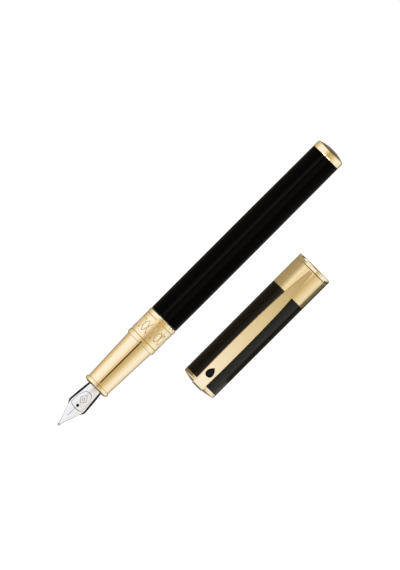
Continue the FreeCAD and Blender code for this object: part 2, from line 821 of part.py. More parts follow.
groove_half = piston_seal_thickness * 0.5 + thin_gap
piston_grooves = []
seal_rings = []
seal_ring_radius = piston_seal_thickness * 0.5
for number in range(2):
    seal_place = piston_seal_first + piston_seal_spacing * number
    piston_grooves += [
        (seal_place - groove_half, piston_radius),
        (seal_place - groove_half, piston_groove_radius),
        (seal_place + groove_half, piston_groove_radius),
        (seal_place + groove_half, piston_radius),
    ]
    ring = doc.addObject("Part::Torus", f"seal_ring_{number}")
    ring.setExpression("Radius1", (piston_seal_radius - seal_ring_radius).text)
    ring.setExpression("Radius2", seal_ring_radius.text)
    ring.Placement.Rotation = FreeCAD.Rotation(FreeCAD.Vector(*UP), FreeCAD.Vector(*ALONG))
    bind_place(ring, (seal_place, 0, 0))
    seal_rings.append(ring)
turned(
    "piston_head",
    [
        (piston_front, 0),
        (piston_front, piston_radius - piston_chamfer),
        (piston_front + piston_chamfer, piston_radius),
        *piston_grooves,
        (piston_rear, piston_radius),
        (piston_rear, 0),
    ],
    pen_home,
)
seal_pair = doc.addObject("Part::Compound", "piston_seals")
seal_pair.Links = seal_rings
finish(seal_pair, "piston_seals", pen_home)
turned(
    "piston_rod",
    [
        (piston_rear + thin_gap, 0),
        (piston_rear + thin_gap, rod_radius),
        (rod_rear, rod_radius),
        (rod_rear, 0),
    ],
    pen_home,
)

# ---- cap: inner tube, lacquered skin, mouth band and lip ----
core_front = dome_rear + thin_gap
core_groove = snap_front - thin_gap
turned(
    "cap_lip",
    [
        (lip_groove, cap_bore_radius),
        (lip_groove, lip_groove_radius),
        (lip_groove + lip_groove_width, lip_groove_radius),
        (lip_groove + lip_groove_width, cap_radius),
        (cap_length - lip_round, cap_radius),
        (
            cap_length,
            cap_radius - lip_round,
            (cap_length - lip_round * ROUND_MIDDLE, cap_radius - lip_round * ROUND_MIDDLE),
        ),
        (cap_length, cap_bore_radius + mouth_edge),
        (cap_length - mouth_edge, cap_bore_radius),
    ],
    cap_home,
)
trim_ring(
    "cap_band", lacquer_rear + thin_gap, lip_groove - thin_gap, skin_bore_radius, cap_radius, cap_home
)


def tab_slot(name, half, floor):
    """The opening through which the clip's tab reaches its pivot."""
    return block(name, (-OUTSIDE, -half, floor), (slot_rear, half, cap_radius + OUTSIDE))


cap_skin = turned_body(
    "cap_skin",
    [
        (core_front, skin_bore_radius),
        (core_front, cap_top_radius),
        (lacquer_rear, cap_radius - lacquer_step),
        (lacquer_rear, skin_bore_radius),
    ],
)
finish(cut("cap_tube", cap_skin, [tab_slot("skin_slot", slot_half, slot_floor)]), "cap_tube", cap_home)
cap_sleeve = turned_body(
    "cap_sleeve",
    [
        (core_front, cap_bore_radius),
        (core_front, skin_bore_radius - thin_gap),
        (lip_groove - thin_gap, skin_bore_radius - thin_gap),
        (lip_groove - thin_gap, cap_bore_radius),
        (core_groove + snap_width + thin_gap * 2, cap_bore_radius),
        (core_groove + snap_width + thin_gap * 2, snap_outer_radius + thin_gap),
        (core_groove, snap_outer_radius + thin_gap),
        (core_groove, cap_bore_radius),
    ],
)
finish(cut("cap_core", cap_sleeve, [tab_slot("core_slot", slot_half, slot_floor)]), "cap_core", cap_home)

# ---- snap ring: a split spring ring that grips in front of the section's ring ----
snap_hoop = turned_body(
    "snap_hoop",
    [
        (snap_front, snap_outer_radius),
        (snap_front + snap_width, snap_outer_radius),
        (snap_front + snap_width, snap_inner_radius + snap_crown),
        (
            snap_front,
            snap_inner_radius + snap_crown,
            (snap_front + snap_width * 0.5, snap_inner_radius),
        ),
    ],
)
snap_split = block(
    "snap_split",
    (snap_front - OUTSIDE, -snap_gap_half, -cap_radius),
    (snap_front + snap_width + OUTSIDE, snap_gap_half, 0),
)
finish(cut("snap_ring", snap_hoop, [snap_split]), "snap_ring", cap_home)

# ---- crown: gilt dome, the block behind it and the screw that ties them ----
dome_blank = turned_body(
    "dome_blank",
    [
        (0, 0),
        (*dome_shoulder, dome_bow),
        (dome_side_front, cap_top_radius, dome_edge_bow),
        (dome_rear, cap_top_radius),
        (dome_rear, crown_screw_radius + thin_gap),
        (dome_screw_depth, crown_screw_radius + thin_gap),
        (dome_screw_depth, 0),
    ],
)
spring_well_depth = notch_floor - spring_floor + OUTSIDE
dome_cutters = [
    block(
        "dome_notch",
        (-OUTSIDE, -notch_half, notch_floor),
        (dome_rear + OUTSIDE, notch_half, cap_radius + OUTSIDE),
    ),
    peg("spring_well", (spring_along, 0, spring_floor), spring_well_depth, spring_well_radius, UP),
]
finish(cut("cap_dome", dome_blank, dome_cutters), "cap_dome", cap_home)

block_blank = turned_body(
    "block_blank",
    [
        (core_front, crown_screw_radius + crown_clearance),
        (core_front, plug_radius),
        (block_rear, plug_radius),
        (block_rear, crown_head_radius + crown_clearance),
        (crown_head_front - thin_gap, crown_head_radius + crown_clearance),
        (crown_head_front - thin_gap, crown_screw_radius + crown_clearance),
    ],
)
block_cutters = [
    tab_slot("block_slot", slot_half, slot_floor),
    peg(
        "pin_hole",
        (pivot_along, -pivot_half_length, pivot_height),
        pivot_half_length * 2,
        pivot_radius + pivot_fit,
        ACROSS,
    ),
]
finish(cut("crown_block", block_blank, block_cutters), "crown_block", cap_home)
crown_screw_blank = turned_body(
    "crown_screw_blank",
    [
        (crown_screw_front, 0),
        (crown_screw_front, crown_screw_radius),
        (crown_head_front, crown_screw_radius),
        (crown_head_front, crown_head_radius),
        (crown_head_rear, crown_head_radius),
        (crown_head_rear, 0),
    ],
)
crown_screw_slot = block(
    "crown_screw_slot",
    (crown_slot_front, -crown_slot_half, -crown_head_radius * 2),
    (crown_head_rear + OUTSIDE, crown_slot_half, crown_head_radius * 2),
)
finish(cut("crown_screw", crown_screw_blank, [crown_screw_slot]), "crown_screw", cap_home)
# The inner cap's floor is open in the middle, so that the nib's point clears the crown screw.
turned(
    "inner_cap",
    [
        (block_rear + thin_gap, crown_head_radius + crown_clearance),
        (block_rear + thin_gap, plug_radius),
        (inner_cap_rear - inner_cap_lead, plug_radius),
        (inner_cap_rear, plug_radius - inner_cap_lead),
        (inner_cap_rear, inner_cap_bore),
        (block_rear + inner_cap_end + inner_cap_bevel, inner_cap_bore),
        (block_rear + inner_cap_end, inner_cap_bore - inner_cap_bevel),
        (block_rear + inner_cap_end, crown_head_radius + crown_clearance),
    ],
    cap_home,
)

# ---- clip: a long blade with a tail in the dome's notch and a tab on the pivot ----
clip_side = padded_body(
    "clip_side",
    "XZ_Plane",
    [
        (clip_start, tail_floor),
        (tail_rear, tail_floor),
        (tail_rear, clip_underside),
        (pad_ramp_front, clip_underside),
        (pad_front, clip_pad_height),
        (pad_rear, clip_pad_height),
        (clip_end, pad_end_height, pad_end_bow),
        (clip_end, clip_end_top),
        (clip_belly, clip_belly_top, clip_top_bow),
        (clip_root_rear, clip_top),
        (clip_start, clip_root_side, clip_root_bow),
    ],
    (clip_belly_half + OUTSIDE) * 2,
)
clip_plan = padded_body(
    "clip_plan",
    "XY_Plane",
    [
        (-OUTSIDE, -clip_root_half),
        (clip_bend, -clip_bend_half, (clip_belly, -clip_belly_half)),
        (clip_end, -clip_end_half, (clip_taper, -clip_taper_half)),
        (clip_end, clip_end_half),
        (clip_bend, clip_bend_half, (clip_taper, clip_taper_half)),
        (-OUTSIDE, clip_root_half, (clip_belly, clip_belly_half)),
    ],
    (clip_top + OUTSIDE) * 2,
)
clip_blade = common("clip_blade", clip_side, clip_plan)
clip_tab = block(
    "clip_tab", (tab_front, -tab_half, tab_floor), (tab_rear, tab_half, clip_underside + clip_joint)
)
drop_outline = [
    (drop_widest, -drop_half, (drop_front, 0)),
    (drop_point, 0, other_side(drop_bow)),
    (drop_widest, drop_half, drop_bow),
]
drop_floor = clip_top - drop_pocket


def drop_body(name, height):
    """A body with the drop's outline that stands on its own XY plane."""
    body = doc.addObject("PartDesign::Body", name)
    sketch = draw_outline(body, "XY_Plane", drop_outline)
    pad = body.newObject("PartDesign::Pad", "Pad")
    pad.Profile = sketch
    pad.setExpression("Length", height.text)
    return body


pocket_cutter = drop_body("pocket_cutter", drop_pocket + OUTSIDE)
bind_place(pocket_cutter, (0, 0, drop_floor))
clip_cutters = [
    pocket_cutter,
    peg(
        "tab_hole",
        (pivot_along, -tab_half * 2, pivot_height),
        tab_half * 4,
        pivot_radius + pivot_clearance,
        ACROSS,
    ),
]
finish(cut("clip", join("clip_blank", [clip_blade, clip_tab]), clip_cutters), "clip", cap_home)
drop_place = (cap_home[0], cap_home[1], cap_home[2] + drop_floor + thin_gap)
finish(drop_body("clip_drop", drop_pocket + drop_height), "clip_drop", drop_place)

finish(
    peg(
        "clip_pin",
        (pivot_along, -pivot_half_length, pivot_height),
        pivot_half_length * 2,
        pivot_radius,
        ACROSS,
    ),
    "clip_pin",
    (
        cap_home[0] + pivot_along,
        cap_home[1] - pivot_half_length,
        cap_home[2] + pivot_height,
    ),
)

# ---- clip spring: a small coil that pushes the tail up and so the blade down ----
coil_height = tail_floor - spring_floor - (spring_wire_radius + spring_clearance) * 2
coil_pitch = coil_height.value / SPRING_TURNS
coil_path = Part.makeHelix(coil_pitch, coil_height.value, spring_radius.value)
coil_section = Part.Wire(
    Part.makeCircle(
        spring_wire_radius.value,
        FreeCAD.Vector(spring_radius.value, 0, 0),
        FreeCAD.Vector(0, 1, 0),
    )
)
coil_shape = Part.Wire(coil_path).makePipeShell([coil_section], True, True)
coil_foot = spring_floor + spring_wire_radius + spring_clearance
finish(
    shaped("clip_spring", coil_shape),
    "clip_spring",
    (cap_home[0] + spring_along, cap_home[1], cap_home[2] + coil_foot),
)

# ---- check everything and write one file per piece ----
doc.recompute()
for thing in doc.Objects:
    if "Invalid" in thing.State or "Error" in thing.State:
        raise RuntimeError(f"{thing.Label} did not compute: {thing.State}")
for piece in pieces:
    if piece.Shape.isNull() or not piece.Shape.isValid() or not piece.Shape.Solids:
        raise RuntimeError(f"{piece.Label} has no valid solid")

os.makedirs("parts", exist_ok=True)
for piece in pieces:
    piece.Shape.exportStep(os.path.join("parts", piece.Label + ".step"))
    bounds = piece.Shape.BoundBox
    print(
        f"{piece.Label:18s} solids {len(piece.Shape.Solids)} volume {piece.Shape.Volume:9.3f}"
        f"  x {bounds.XMin:8.2f} {bounds.XMax:8.2f}"
        f"  y {bounds.YMin:8.2f} {bounds.YMax:8.2f}"
        f"  z {bounds.ZMin:7.2f} {bounds.ZMax:7.2f}"
    )
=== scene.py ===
import json
import math

import bmesh
import bpy
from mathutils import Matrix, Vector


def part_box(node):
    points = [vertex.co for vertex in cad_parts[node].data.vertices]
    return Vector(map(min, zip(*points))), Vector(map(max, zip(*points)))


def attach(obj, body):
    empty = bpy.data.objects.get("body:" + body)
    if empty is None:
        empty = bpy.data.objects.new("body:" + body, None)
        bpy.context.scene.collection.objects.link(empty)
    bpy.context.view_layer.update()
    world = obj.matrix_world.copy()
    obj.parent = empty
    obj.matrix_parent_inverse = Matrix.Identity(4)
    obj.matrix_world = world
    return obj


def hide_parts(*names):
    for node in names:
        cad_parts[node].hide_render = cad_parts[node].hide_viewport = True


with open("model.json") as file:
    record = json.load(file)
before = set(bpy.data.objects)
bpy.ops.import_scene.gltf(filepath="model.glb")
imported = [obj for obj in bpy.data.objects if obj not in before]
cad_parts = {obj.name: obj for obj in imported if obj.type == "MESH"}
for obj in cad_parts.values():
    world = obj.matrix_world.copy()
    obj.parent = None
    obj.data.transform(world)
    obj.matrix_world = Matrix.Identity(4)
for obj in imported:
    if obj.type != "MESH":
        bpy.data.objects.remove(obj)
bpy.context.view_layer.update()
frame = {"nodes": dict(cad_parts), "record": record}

# A fountain pen and its cap, lying side by side on a white table. The pen runs along X with
# its nib towards -X, and the cap lies beside it on the -Y side with its dome towards -X.
# Blender's lengths are metres. The pieces below are drawn in millimetres, as the distance
# from the nib's tip along the pen, or from the top of the dome along the cap.
MM = 0.001
# How deep the engraved lines are cut, and from how many degrees on a corner stays sharp.
LINE_DEPTH = 0.09
SHARP_ANGLE = 30


# ---- places read from the frame ----
def node_middle(node, axis):
    low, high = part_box(node)
    return (low[axis] + high[axis]) / 2


PEN = (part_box("nib_tipping")[0][0], node_middle("barrel_tube", 1), node_middle("barrel_tube", 2))
CAP = (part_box("cap_dome")[0][0], node_middle("cap_band", 1), node_middle("cap_band", 2))


def reach(node, home):
    """Where a turned node starts and stops along its axis, and its radius, in millimetres."""
    low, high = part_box(node)
    return (low[0] - home[0]) / MM, (high[0] - home[0]) / MM, (high[1] - low[1]) / 2 / MM


# ---- curves ----
def through(first, second, third):
    """A smooth function whose curve passes through three (x, y) points."""
    def value(x):
        total = 0
        for here, one, two in ((first, second, third), (second, first, third), (third, first, second)):
            total += here[1] * (x - one[0]) * (x - two[0]) / ((here[0] - one[0]) * (here[0] - two[0]))
        return total
    return value


def rounded(corners, steps=6):
    """Turn (x, y, size) corners into points, each corner rounded off by its size."""
    points = []
    for number, (x, y, size) in enumerate(corners):
        if size == 0:
            points.append((x, y))
            continue
        ends = []
        for other in (corners[number - 1], corners[(number + 1) % len(corners)]):
            distance = math.hypot(other[0] - x, other[1] - y)
            ends.append((x + (other[0] - x) * size / distance, y + (other[1] - y) * size / distance))
        for step in range(steps + 1):
            share = step / steps
            weights = ((1 - share) ** 2, 2 * share * (1 - share), share**2)
            points.append(tuple(
                weights[0] * ends[0][axis] + weights[1] * (x, y)[axis] + weights[2] * ends[1][axis]
                for axis in (0, 1)
            ))
    return points


def spread(start, stop, count):
    """Evenly spaced numbers from start to stop."""
    return [start + (stop - start) * number / (count - 1) for number in range(count)]


def eased(share):
    """A share from 0 to 1 that starts and stops gently."""
    return share * share * (3 - 2 * share)


# ---- mesh tools ----
def add_piece(name, vertices, faces, home, engraving_and_painted_shade=None):
    """Make a piece from points in millimetres, smooth it and keep its real corners sharp.
    The list of depths holds one number per point, 1 in the deepest part of a cut line; on the nib's rim
    it holds painted shade as well."""
    mesh = bpy.data.meshes.new(name)
    places = [[home[axis] + point[axis] * MM for axis in range(3)] for point in vertices]
    mesh.from_pydata(places, [], faces)
    # The depths also carry the painted shade on the nib's rim.
    if engraving_and_painted_shade:
        depth = mesh.attributes.new("engraving_and_painted_shade", "FLOAT", "POINT")
        depth.data.foreach_set("value", engraving_and_painted_shade)
    work = bmesh.new()
    work.from_mesh(mesh)
    bmesh.ops.remove_doubles(work, verts=work.verts, dist=0.001 * MM)
    bmesh.ops.recalc_face_normals(work, faces=work.faces)
    work.to_mesh(mesh)
    work.free()
    piece = bpy.data.objects.new(name, mesh)
    bpy.context.scene.collection.objects.link(piece)
    smooth(mesh)
    return piece


def smooth(mesh, sharp_angle=SHARP_ANGLE):
    for polygon in mesh.polygons:
        polygon.use_smooth = True
    mesh.set_sharp_from_angle(angle=math.radians(sharp_angle))


def turned(name, home, profile, segments=144, relief=None):
    """Turn a closed outline of (along, radius) points about X. A relief is a function of
    (along, radius, angle) that gives how far a point stands out, less than 0 for a cut."""
    vertices = []
    depths_and_painted_shade = []
    rings = []
    for along, radius in profile:
        turns = segments if radius > 0 else 1
        rings.append(range(len(vertices), len(vertices) + turns))
        for number in range(turns):
            angle = 2 * math.pi * number / segments
            change = relief(along, radius, angle) if relief else 0
            out = radius + change
            vertices.append((along, out * math.sin(angle), out * math.cos(angle)))
            depths_and_painted_shade.append(min(1.0, max(0.0, -change / LINE_DEPTH)))
    faces = []
    for number, one in enumerate(rings):
        two = rings[(number + 1) % len(rings)]
        if len(one) == 1 and len(two) == 1:
            continue
        for step in range(segments):
            after = (step + 1) % segments
            corners = [one[step % len(one)], one[after % len(one)]]
            corners += [two[after % len(two)], two[step % len(two)]]
            faces.append(tuple(dict.fromkeys(corners)))
    return add_piece(name, vertices, faces, home, engraving_and_painted_shade=depths_and_painted_shade if relief else None)


def lofted(name, home, sections, engraving_and_painted_shade=None):
    """Join even-sized closed sections of points into one closed solid with capped ends."""
    size = len(sections[0])
    vertices = [point for section in sections for point in section]
    faces = [tuple(range(size)), tuple(range(len(vertices) - size, len(vertices)))]
    for row in range(len(sections) - 1):
        for number in range(size):
            after = (number + 1) % size
            base = row * size
            faces.append((base + number, base + after, base + size + after, base + size + number))
    return add_piece(name, vertices, faces, home, engraving_and_painted_shade=engraving_and_painted_shade)


def block(name, home, low, high):
    """A rectangular solid between two corners, for a cut or a joint."""
    sides = ((low[1], low[2]), (high[1], low[2]), (high[1], high[2]), (low[1], high[2]))
    return lofted(name, home, [[(x, y, z) for y, z in sides] for x in (low[0], high[0])])


def post(name, home, along, radius, low, high, sides):
    """An upright round solid on the middle line, for a cut."""
    turns = [2 * math.pi * number / sides for number in range(sides)]
    return lofted(name, home, [
        [(along + radius * math.cos(turn), radius * math.sin(turn), height) for turn in turns]
        for height in (low, high)
    ])


def combine(piece, other, operation):
    """Cut another solid from a piece, or join it to the piece, and remove the other."""
    modifier = piece.modifiers.new("combine", "BOOLEAN")
    modifier.operation = operation
    modifier.solver = "EXACT"
    modifier.object = other
    graph = bpy.context.evaluated_depsgraph_get()
    piece.data = bpy.data.meshes.new_from_object(piece.evaluated_get(graph))
    piece.modifiers.clear()
    bpy.data.objects.remove(other, do_unlink=True)
    smooth(piece.data)
    return piece


# ---- material tools ----
GRAIN_HEIGHT = 0.01 * MM
# How a grain is stretched along X, Y and Z: in long lines, or round a turned piece.
ALONG_GRAIN = (0.3, 4, 4)
ROUND_GRAIN = (6, 0.4, 0.4)


def new_material(name, **inputs):
    """A Principled material whose even values sit on the shader's own sockets."""
    material = bpy.data.materials.new(name)
    material.use_nodes = True
    shader = material.node_tree.nodes["Principled BSDF"]
    for key, value in inputs.items():
        label = key.replace("_", " ").title().replace("Ior", "IOR")
        shader.inputs[label].default_value = value
    return material, shader


def noise_node(material, scale, stretch=(1, 1, 1)):
    """A noise in the object's own space, stretched along each axis."""
    nodes = material.node_tree.nodes
    place = nodes.new("ShaderNodeTexCoord")
    mapping = nodes.new("ShaderNodeMapping")
    mapping.inputs["Scale"].default_value = stretch
    noise = nodes.new("ShaderNodeTexNoise")
    noise.inputs["Scale"].default_value = scale
    noise.inputs["Detail"].default_value = 6
    material.node_tree.links.new(place.outputs["Object"], mapping.inputs["Vector"])
    material.node_tree.links.new(mapping.outputs["Vector"], noise.inputs["Vector"])
    return noise


def map_range(nodes, from_low, from_high, to_low=0.0, to_high=1.0):
    """A node that maps one range of numbers onto another."""
    node = nodes.new("ShaderNodeMapRange")
    limits = {"From Min": from_low, "From Max": from_high, "To Min": to_low, "To Max": to_high}
    for label, value in limits.items():
        node.inputs[label].default_value = value
    return node


def colour_ramp(nodes, stops):
    """A ramp node through (position, colour) stops."""
    node = nodes.new("ShaderNodeValToRGB")
    elements = node.color_ramp.elements
    while len(elements) < len(stops):
        elements.new(0.5)
    for element, (position, colour) in zip(elements, stops):
        element.position = position
        element.color = (*colour, 1)
    return node


def vary_roughness(material, shader, noise, low, high):
    """Let the roughness drift with the noise, which stays mostly between 0.3 and 0.7."""
    share = map_range(material.node_tree.nodes, 0.3, 0.7, low, high)
    material.node_tree.links.new(noise.outputs["Fac"], share.inputs["Value"])
    material.node_tree.links.new(share.outputs["Result"], shader.inputs["Roughness"])


def add_bump(material, shader, noise, strength):
    """Let the noise raise a fine grain on the surface."""
    bump = material.node_tree.nodes.new("ShaderNodeBump")
    bump.inputs["Strength"].default_value = strength
    bump.inputs["Distance"].default_value = GRAIN_HEIGHT
    material.node_tree.links.new(noise.outputs["Fac"], bump.inputs["Height"])
    material.node_tree.links.new(bump.outputs["Normal"], shader.inputs["Normal"])


def mottle(material, shader, noise, first, second):
    """Let the base colour drift between two close colours."""
    ramp = colour_ramp(material.node_tree.nodes, ((0.35, first), (0.65, second)))
    material.node_tree.links.new(noise.outputs["Fac"], ramp.inputs["Fac"])
    material.node_tree.links.new(ramp.outputs["Color"], shader.inputs["Base Color"])


def finished(name, colours, roughness, bump, scale, stretch=(1, 1, 1), **inputs):
    """A material with a drifting colour, a drifting roughness and a fine surface grain."""
    material, shader = new_material(name, **inputs)
    noise = noise_node(material, scale, stretch)
    mottle(material, shader, noise, *colours)
    vary_roughness(material, shader, noise, *roughness)
    add_bump(material, shader, noise, bump)
    return material


def darken_lines_and_painted_rim(material, colour):
    """Let the cut lines of an engraved piece carry a darker colour in their depth, and the nib's rim
    carry painted shade in the same colour.
    """
    nodes = material.node_tree.nodes
    links = material.node_tree.links
    shader = nodes["Principled BSDF"]
    # The attribute holds the cut depth, and on the nib's rim it holds painted shade.
    depth = nodes.new("ShaderNodeAttribute")
    depth.attribute_name = "engraving_and_painted_shade"
    mix = nodes.new("ShaderNodeMix")
    mix.data_type = "RGBA"
    mix.inputs["B"].default_value = (*colour, 1)
    surface = shader.inputs["Base Color"].links[0].from_socket
    links.new(depth.outputs["Fac"], mix.inputs["Factor"])
    links.new(surface, mix.inputs["A"])
    links.new(mix.outputs["Result"], shader.inputs["Base Color"])
    return material


def metal(name, colours, roughness, bump, scale=700, stretch=ALONG_GRAIN):
    return finished(name, colours, roughness, bump, scale, stretch, metallic=1.0)


def clip_gold_painted_shading():
    """Satin gold with painted light along the clip: a painted highlight at the clip's root, fading to
    painted brown shade towards its free end.
    """
    material, shader = new_material("clip_gold_painted_shading", metallic=1.0)
    noise = noise_node(material, 1500, ALONG_GRAIN)
    vary_roughness(material, shader, noise, 0.30, 0.38)
    add_bump(material, shader, noise, 0.03)
    low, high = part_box("clip")
    nodes = material.node_tree.nodes
    links = material.node_tree.links
    place = nodes.new("ShaderNodeTexCoord")
    split = nodes.new("ShaderNodeSeparateXYZ")
    share = map_range(nodes, low[0], high[0])
    # The ramp paints light on the clip's gold: a painted highlight at the root, painted shade towards
    # the free end.
    ramp = colour_ramp(nodes, ((0.05, CLIP_GOLD_PAINTED_LIGHT), (0.5, CLIP_GOLD_PAINTED_MIDTONE), (0.9, CLIP_GOLD_PAINTED_SHADE)))
    links.new(place.outputs["Object"], split.inputs["Vector"])
    links.new(split.outputs["X"], share.inputs["Value"])
    links.new(share.outputs["Result"], ramp.inputs["Fac"])
    links.new(ramp.outputs["Color"], shader.inputs["Base Color"])
    return material


# ---- colours ----
PEN_GOLD = ((0.975, 0.85, 0.61), (0.965, 0.83, 0.59))
CAP_GOLD = ((0.90, 0.74, 0.45), (0.86, 0.70, 0.41))
# The clip's gold with painted light along its length: a painted highlight, a middle tone and painted
# brown shade.
CLIP_GOLD_PAINTED_LIGHT = (0.96, 0.82, 0.58)
CLIP_GOLD_PAINTED_MIDTONE = (0.76, 0.60, 0.32)
CLIP_GOLD_PAINTED_SHADE = (0.52, 0.38, 0.16)
GOLD_LINES = (0.45, 0.30, 0.10)
# The nib's line colour, which also paints shade on the nib's bare rim.
STEEL_LINES_AND_PAINTED_RIM_SHADE = (0.34, 0.34, 0.36)
STEEL = ((0.90, 0.90, 0.92), (0.86, 0.86, 0.88))
GREY_STEEL = ((0.62, 0.62, 0.63), (0.50, 0.50, 0.51))
TIP_ALLOY = ((0.34, 0.34, 0.35), (0.24, 0.24, 0.25))
RAW_BRASS = ((0.70, 0.50, 0.22), (0.60, 0.42, 0.17))
INK_BLACK = ((0.0012, 0.0010, 0.0010), (0.0016, 0.0014, 0.0013))
WARM_BLACK = ((0.0040, 0.0034, 0.0026), (0.0052, 0.0044, 0.0034))
MOULD_BLACK = ((0.004, 0.004, 0.004), (0.007, 0.007, 0.007))
MOULD_WHITE = ((0.60, 0.60, 0.57), (0.50, 0.50, 0.47))
CLEAR = ((0.93, 0.95, 0.96), (0.90, 0.93, 0.95))

MATERIALS = {
    "gilt": metal("polished_gold", PEN_GOLD, (0.05, 0.08), 0.01),
    "gilt_engraved": darken_lines_and_painted_rim(metal("engraved_gold", PEN_GOLD, (0.12, 0.18), 0.01), GOLD_LINES),
    "gilt_satin": metal("satin_gold", CAP_GOLD, (0.20, 0.28), 0.06, 900, ROUND_GRAIN),
    "gilt_clip": clip_gold_painted_shading(),
    "barrel_lacquer": finished(
        "barrel_lacquer", INK_BLACK, (0.12, 0.18), 0.01, 120, ALONG_GRAIN, ior=1.08
    ),
    "cap_lacquer": finished(
        "cap_lacquer", WARM_BLACK, (0.16, 0.22), 0.01, 120, ALONG_GRAIN, ior=1.36
    ),
    "drop_black": finished("black_stone", INK_BLACK, (0.04, 0.08), 0.01, 500, ior=1.24),
    "nib_steel": darken_lines_and_painted_rim(metal("nib_steel", STEEL, (0.26, 0.34), 0.02), STEEL_LINES_AND_PAINTED_RIM_SHADE),
    "nib_tip": metal("tip_alloy", TIP_ALLOY, (0.25, 0.40), 0.1),
    "feed_black": finished("feed_black", INK_BLACK, (0.35, 0.50), 0.2, 1500, ior=1.25),
    "brass": metal("machined_brass", RAW_BRASS, (0.20, 0.35), 0.15, 1200, ROUND_GRAIN),
    "spring_steel": metal("spring_steel", GREY_STEEL, (0.20, 0.35), 0.1, 1200, ROUND_GRAIN),
    "liner_plastic": finished("liner_plastic", MOULD_BLACK, (0.30, 0.45), 0.2, 1500),
    "seal_rubber": finished("seal_rubber", MOULD_BLACK, (0.50, 0.65), 0.3, 1500),
    "clear_plastic": finished(
        "clear_plastic", CLEAR, (0.02, 0.07), 0.01, 300, ALONG_GRAIN, transmission_weight=1.0
    ),
    "converter_black": finished("converter_black", MOULD_BLACK, (0.20, 0.30), 0.1, 1500),
    "rod_plastic": finished("rod_plastic", MOULD_WHITE, (0.30, 0.45), 0.2, 1500),
}
NODE_SLOT = {part["node"]: part["material_slot"] for part in frame["record"]["subparts"]}
BODIES = frame["record"]["behaviour"]["bodies"]
NODE_BODY = {node: body for body, members in BODIES.items() for node in members}
for node, thing in frame["nodes"].items():
    thing.data.materials.clear()
    thing.data.materials.append(MATERIALS[NODE_SLOT[node]])
    # The polished pen mirrors the bare table, not the cap that lies beside it.
    thing.visible_glossy = NODE_BODY[node] != "cap"


def stand_for(node, piece):
    """Put a finished piece in the place of one CAD node."""
    piece.data.materials.clear()
    piece.data.materials.append(MATERIALS[NODE_SLOT[node]])
    shading = piece.modifiers.new("even_shading", "WEIGHTED_NORMAL")
    shading.keep_sharp = True
    piece.visible_glossy = NODE_BODY[node] != "cap"
    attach(piece, NODE_BODY[node])
    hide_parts(node)
    return piece


# ---- grip and trim rings ----
# The bore of the rings and the band, and the steep edge that makes a dark line between them.
RING_BORE = 4.31
EDGE_WIDTH, EDGE_DEPTH = 0.15, 0.26


def grip():
    """A flared lip with a fine groove behind it, and a long taper."""
    start, stop, rear_radius = reach("grip_section", PEN)
    front_bore, bore, wall = 3.3, 4.0, 0.85
    mouth, lip, groove_front, groove, neck = 3.85, 4.92, 4.76, 4.36, 4.56
    outline = [
        (start, front_bore, 0.08),
        (start, mouth, 0.35),
        (start + 0.62, lip, 0.30),
        (start + 1.25, lip, 0.22),
        (start + 1.70, groove_front, 0.03),
        (start + 1.88, groove, 0),
        (start + 2.03, neck, 0.03),
        (stop, rear_radius, 0.05),
        (stop, bore, 0),
        (start + wall, bore, 0),
        (start + wall, front_bore, 0),
    ]
    return turned("grip", PEN, rounded(outline))


def trim_ring(name, node, home, bore, edge_width, edge_depth):
    """A ring whose steep outer edges make a dark groove where two rings meet."""
    start, stop, radius = reach(node, home)
    outline = [
        (start, bore, 0),
        (start, radius - edge_depth, 0),
        (start + edge_width, radius, 0.03),
        (stop - edge_width, radius, 0.03),
        (stop, radius - edge_depth, 0),
        (stop, bore, 0),
    ]
    return turned(name, home, rounded(outline))


def engraved_band():
    """A band with two interlaced waves cut into its face."""
    start, stop, radius = reach("section_band", PEN)
    middle = (start + stop) / 2
    swing, waves = 1.9, 9
    line_half, plain_margin = 0.26 / 3, 0.6
    rows, segments = 108, 540

    def cut(along, point_radius, angle):
        if point_radius < radius:
            return 0
        slope = math.hypot(1, swing * waves / radius)
        wave = swing * math.sin(waves * angle)
        closest = min(abs(along - middle - wave), abs(along - middle + wave)) / slope
        if closest >= line_half:
            return 0
        return -LINE_DEPTH * math.cos(closest / line_half * math.pi / 2)

    outline = [(start, RING_BORE), (start, radius - EDGE_DEPTH), (start + EDGE_WIDTH, radius)]
    outline += [(along, radius) for along in spread(start + plain_margin, stop - plain_margin, rows)]
    outline += [(stop - EDGE_WIDTH, radius), (stop, radius - EDGE_DEPTH), (stop, RING_BORE)]
    return turned("engraved_band", PEN, outline, segments, cut)


# ---- threaded sleeve ----
def threaded_sleeve():
    """The section's sleeve with a real helical thread for the barrel."""
    start, stop, _ = reach("threaded_sleeve", PEN)
    step_at = reach("section_ring", PEN)[0]
    front_gap, rear_gap = 0.3, 0.1
    thread_front = reach("barrel_tube", PEN)[0] + front_gap
    thread_rear = stop - rear_gap
    neck, neck_rear, root, body, bore = 3.62, 42.2, 4.28, 3.97, 3.9
    depth, pitch, rows = 0.3, 0.8, 110
    # Half of the ridge's width at its crest and at its foot, as shares of the pitch.
    crest_half, foot_half = 0.12, 0.32

    def ridge(along, point_radius, angle):
        if point_radius != root or not thread_front < along < thread_rear:
            return 0
        share = (along / pitch - angle / (2 * math.pi)) % 1
        flank = (foot_half - abs(share - 0.5)) / (foot_half - crest_half)
        height = max(0.0, min(1.0, flank))
        run_in = min(1.0, (along - thread_front) / pitch, (thread_rear - along) / pitch)
        return depth * height * run_in

    outline = [(start, neck), (start, body), (step_at, body), (step_at, root)]
    outline += [(along, root) for along in spread(thread_front, thread_rear, rows)]
    outline += [(stop, root), (stop, bore), (neck_rear, bore), (neck_rear, neck)]
    return turned("helical_sleeve", PEN, outline, relief=ridge)


